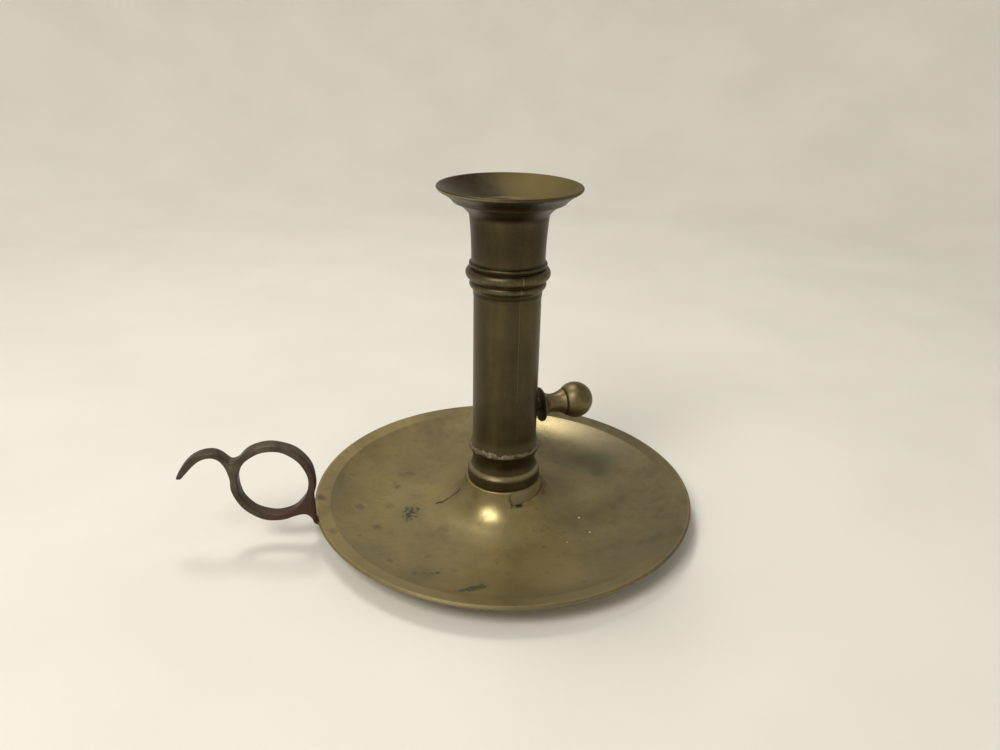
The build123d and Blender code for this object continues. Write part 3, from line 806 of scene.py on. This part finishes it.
def bar(upper, lower, side, widths, wrap):
    """Forged bar between an upper and a lower edge: at each step along them a rounded rectangle fills the
    gap between the edges and the given width to each side. An open bar closes to a point at each end."""
    if not wrap:
        ends = [(upper[k] + lower[k]) / 2 for k in (0, -1)]
        upper, lower = (np.vstack([ends[0], edge, ends[1]]) for edge in (upper, lower))
        widths = np.concatenate([[0], widths, [0]])
    angle = full_turn(40)
    tall = np.sign(np.cos(angle)) * np.abs(np.cos(angle)) ** 0.3
    wide = np.sign(np.sin(angle)) * np.abs(np.sin(angle)) ** 0.3
    middle, reach = (upper + lower)[:, None] / 2, (upper - lower)[:, None] / 2
    return middle + reach * tall[:, None] + side * (widths[:, None] / 2 * wide)[..., None]


def in_ring(edge):
    """Points of the ring's own plane (out, up) set in the frame."""
    return loop_origin + edge[:, :1] * loop_out + edge[:, 1:] * loop_up


angle = full_turn(180)
circle = np.stack([np.cos(angle), np.sin(angle)], 1)
circle = circle * (0.98, 1.018) + circle[:, 1:] * (0.015, 0)
forged = 1 + 0.006 * np.sin(5 * angle + 1)[:, None] + 0.004 * np.sin(11 * angle)[:, None]
ring = bar(
    in_ring(circle * (ring_outer * (2 - forged) - 0.02)),
    in_ring(circle * ring_inner * forged),
    loop_side,
    loop_width * (0.985 + 0.015 * np.sin(4 * angle)),
    True,
)
upper = np.vstack(
    [
        bezier((-11.6, 10.2), (-13.0, 9.2), (-14.2, 8.9), (-15.0, 9.5), 14),
        bezier((-15.0, 9.5), (-16.3, 10.5), (-18.0, 13.2), (-21.3, 13.2), 27)[1:],
        bezier((-21.3, 13.2), (-27.4, 13.2), (-32.1, 8.4), (-34.4, 2.5), 60)[1:],
    ]
)
lower = np.vstack(
    [
        bezier((-15.1, -1.0), (-15.5, 6.6), (-17.2, 11.0), (-21.3, 11.0), 40),
        bezier((-21.3, 11.0), (-25.8, 11.0), (-29.0, 6.2), (-32.5, 2.5), 60)[1:],
    ]
)
taper = loop_width * np.interp(np.arange(len(upper)), [0, 80, 98], [1, 1, 0.85])
scroll = bar(in_ring(upper), in_ring(lower), loop_side, taper, False)
web_steps, web_radius = 24, 14.2
web_angle = np.radians(np.linspace(-72, -28, web_steps))
web = bar(
    in_ring(web_radius * np.stack([np.cos(web_angle), np.sin(web_angle)], 1)),
    in_ring(bezier((4.6, -14.9), (9.6, -13.2), (11.3, -12.6), (13.0, -15.6), web_steps)),
    loop_side,
    np.full(web_steps, loop_width),
    False,
)
strap_course = [
    (-76.0, 23.0, 0, 0.6),
    (-76.3, 14.5, 0, 0.4),
    (-75.75, 9.2, 0.45, 0.4),
    (-73.9, 7.0, 0, 0.5),
    (-69.0, 6.25, -0.19, 0.8),
    (-60.2, 2.38, 0, 0.8),
]
strap_way = turned(strap_course, 0.8, closed=False)
strap_step = np.gradient(strap_way, axis=0)
strap_step = strap_step / np.linalg.norm(strap_step, axis=1)[:, None]
strap_along = np.append(0, np.cumsum(np.hypot(*np.diff(strap_way, axis=0).T)))
strap_thick = np.interp(strap_along, [0, 8.4, 14.4, 33.4], [1.5, 2.4, 1.25, 1.1])[:, None]
strap_normal = np.stack([-strap_step[:, 1], strap_step[:, 0]], 1)
strap_edges = [strap_way + hand * strap_thick / 2 * strap_normal for hand in (1, -1)]
strap_edges = [np.stack([edge[:, 0], 0 * edge[:, 0], edge[:, 1]], 1) for edge in strap_edges]
strap = bar(
    *strap_edges,
    np.array([0, 1, 0]),
    np.interp(strap_along, [0, 12.9, 19.9, 33.4], [4.9, 5.0, 6.0, 6.0]),
    False,
)

# Browned iron: forged iron under a brown-black oxide, half rough, in patches of grey and brown, and
# red-brown by the strap.
loop_iron, where = blank("browned_iron")
cloud = node(
    loop_iron,
    "ShaderNodeTexNoise",
    {"Scale": 1000 / 6, "Detail": 6, "Roughness": 0.62},
    {"Vector": where},
)
fine = node(loop_iron, "ShaderNodeTexNoise", {"Scale": 1000 / 0.9, "Detail": 4}, {"Vector": where})
tone = node(
    loop_iron,
    "ShaderNodeValToRGB",
    {"ramp": [(0.32, "#372e22"), (0.48, "#494033"), (0.6, "#564e40"), (0.72, "#635c4d")]},
    {"Fac": cloud},
)
strap_place = (-0.079, 0.0, 0.012)
near = node(
    loop_iron,
    "ShaderNodeVectorMath",
    {"operation": "DISTANCE", 1: strap_place},
    {0: where},
    out="Value",
)
near = node(loop_iron, "ShaderNodeMapRange", {1: 0.03, 2: 0.004, 3: 0.0, 4: 0.75}, {0: near})
rust = node(loop_iron, "ShaderNodeMath", {"operation": "MULTIPLY_ADD", 1: 0.5}, {0: cloud, 2: near})
rust = node(loop_iron, "ShaderNodeMapRange", {1: 0.3, 2: 0.95}, {0: rust})
tone = node(
    loop_iron, "ShaderNodeMix", {"data_type": "RGBA", 7: linear("#473024")}, {0: rust, 6: tone}, out=2
)
dull = node(loop_iron, "ShaderNodeMapRange", {1: 0.3, 2: 0.7, 3: 0.42, 4: 0.6}, {0: cloud})
grain = node(loop_iron, "ShaderNodeBump", {"Strength": 0.3, "Distance": 0.0002}, {"Height": fine})
grain = node(
    loop_iron,
    "ShaderNodeBump",
    {"Strength": 0.35, "Distance": 0.0006},
    {"Height": cloud, "Normal": grain},
)
skin = node(
    loop_iron,
    "ShaderNodeBsdfPrincipled",
    {"Metallic": 0.6},
    {"Base Color": tone, "Roughness": dull, "Normal": grain},
)
node(loop_iron, "ShaderNodeOutputMaterial", {}, {"Surface": skin})

points, faces = [], []
for part, wrap in ((ring, True), (scroll, False), (web, False), (strap, False)):
    faces += quads(part.shape, (wrap, True), sum(len(p) for p in points))
    points.append(part.reshape(-1, 3))
loop = shaped("loop", np.vstack(points), faces, loop_iron)
weld = loop.modifiers.new("weld", "REMESH")
weld.mode, weld.voxel_size, weld.use_smooth_shade = "VOXEL", 0.00022, True
ease = loop.modifiers.new("ease", "SMOOTH")
ease.factor, ease.iterations = 0.5, 3
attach(loop, "candlestick")
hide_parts("finger_loop")


# Wax: specks of old candle grease on the floor of the pan. Each is a flat, uneven drop that set hard
# where it fell and was never scraped off.

floor_height = 1.5
drop_turn = full_turn(24)
drop_rise = np.linspace(-math.pi / 2, math.pi / 2, 12)[:, None]
drops = []
for east, north, size in ((25.0, -20.5, 0.5), (24.7, -31.0, 0.42), (13.6, -34.0, 0.32)):
    reach = size * np.cos(drop_rise) * (1 + 0.16 * np.sin(3 * drop_turn + east))
    height = floor_height + 0.5 * size * np.sin(drop_rise) + 0 * drop_turn
    drop_x, drop_y = east + reach * np.cos(drop_turn), north + reach * np.sin(drop_turn)
    drops.append(np.stack([drop_x, drop_y, height], -1))

# Candle wax: pale, yellowed and faintly waxy, so each speck shows as a soft light dot.
candle_wax, where = blank("candle_wax")
cloud = node(candle_wax, "ShaderNodeTexNoise", {"Scale": 1000 / 0.4, "Detail": 3}, {"Vector": where})
tone = node(
    candle_wax, "ShaderNodeValToRGB", {"ramp": [(0.35, "#a59a78"), (0.65, "#cfc6a6")]}, {"Fac": cloud}
)
skin = node(candle_wax, "ShaderNodeBsdfPrincipled", {"Roughness": 0.5}, {"Base Color": tone})
node(candle_wax, "ShaderNodeOutputMaterial", {}, {"Surface": skin})
faces = []
for k, drop in enumerate(drops):
    faces += quads(drop.shape, (False, True), k * drop.shape[0] * drop.shape[1])
wax = shaped("wax_specks", np.stack(drops), faces, candle_wax)
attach(wax, "candlestick")


# Stage: a pale woven cloth that lies flat under the object and rises all round it, with one soft lamp to
# the left and one behind, both overhead.

# Pale cloth: matt, warm white and very faintly uneven, so that shadows on it stay soft.
cloth, where = blank("pale_cloth")
weave = node(cloth, "ShaderNodeTexNoise", {"Scale": 1000 / 3, "Detail": 4}, {"Vector": where})
folds = node(cloth, "ShaderNodeTexNoise", {"Scale": 1000 / 90, "Detail": 2}, {"Vector": where})
tone = node(
    cloth, "ShaderNodeValToRGB", {"ramp": [(0.35, "#e4e2dc"), (0.65, "#e9e7e1")]}, {"Fac": folds}
)
relief = node(cloth, "ShaderNodeBump", {"Strength": 0.12, "Distance": 0.0005}, {"Height": weave})
skin = node(
    cloth, "ShaderNodeBsdfPrincipled", {"Roughness": 0.95}, {"Base Color": tone, "Normal": relief}
)
node(cloth, "ShaderNodeOutputMaterial", {}, {"Surface": skin})
cloth_course = [
    (0.0, -0.05, 0, 60),
    (560.0, -0.05, -131.8, 60),
    (1010.0, 450.0, 0, 120),
    (1010.0, 1500.0, 0, 120),
]
cloth_section = turned(cloth_course, 0.2, closed=False)
cloth_grid = spun(cloth_section, full_turn(96))
floor = shaped("floor", cloth_grid, quads(cloth_grid.shape, (False, True)), cloth)

world = bpy.data.worlds.new("studio")
bpy.context.scene.world = world
world.use_nodes = True
world.node_tree.nodes["Background"].inputs["Color"].default_value = linear("#efece5")
world.node_tree.nodes["Background"].inputs["Strength"].default_value = 0.48
lamp_distance, lamp_target = 0.9, np.array([0, 0, 0.03])
for name, toward, width, power in (
    ("left_lamp", (-0.57, -0.38, 0.78), 0.36, 4.2),
    ("back_lamp", (-0.08, 0.40, 0.91), 0.24, 2.5),
):
    lamp = bpy.data.lights.new(name, "AREA")
    lamp.size, lamp.energy, lamp.color = width, power, linear("#fffbf4")[:3]
    placed = bpy.data.objects.new(name, lamp)
    direction = np.array(toward) / np.linalg.norm(toward)
    turn_x = math.acos(direction[2])
    turn_z = math.atan2(direction[1], direction[0]) + math.pi / 2
    placed.location = tuple(lamp_distance * direction + lamp_target)
    placed.rotation_euler = (turn_x, 0, turn_z)
    bpy.context.scene.collection.objects.link(placed)


# Camera: where the photograph was taken from, a little above the lip and to the left of the knob, with
# a slight roll.

heading, dip, roll = math.radians(69.44), math.radians(23.80), math.radians(1.18)
ahead = np.array([math.cos(heading) * math.cos(dip), math.sin(heading) * math.cos(dip), -math.sin(dip)])
level = np.array([math.sin(heading), -math.cos(heading), 0])
over = np.cross(level, ahead)
right = math.cos(roll) * level + math.sin(roll) * over
top = np.cross(right, ahead)
lens = bpy.data.cameras.new("camera")
lens.sensor_fit, lens.sensor_width, lens.lens = "HORIZONTAL", 36, 28.81
lens.clip_start, lens.clip_end = 0.01, 20
camera = bpy.data.objects.new("camera", lens)
camera.matrix_world = Matrix(np.column_stack([right, top, -ahead]).tolist()).to_4x4()
camera.location = (-0.10052, -0.26186, 0.18224)
bpy.context.scene.collection.objects.link(camera)
bpy.context.scene.camera = camera
bpy.context.scene.view_settings.view_transform = "Standard"
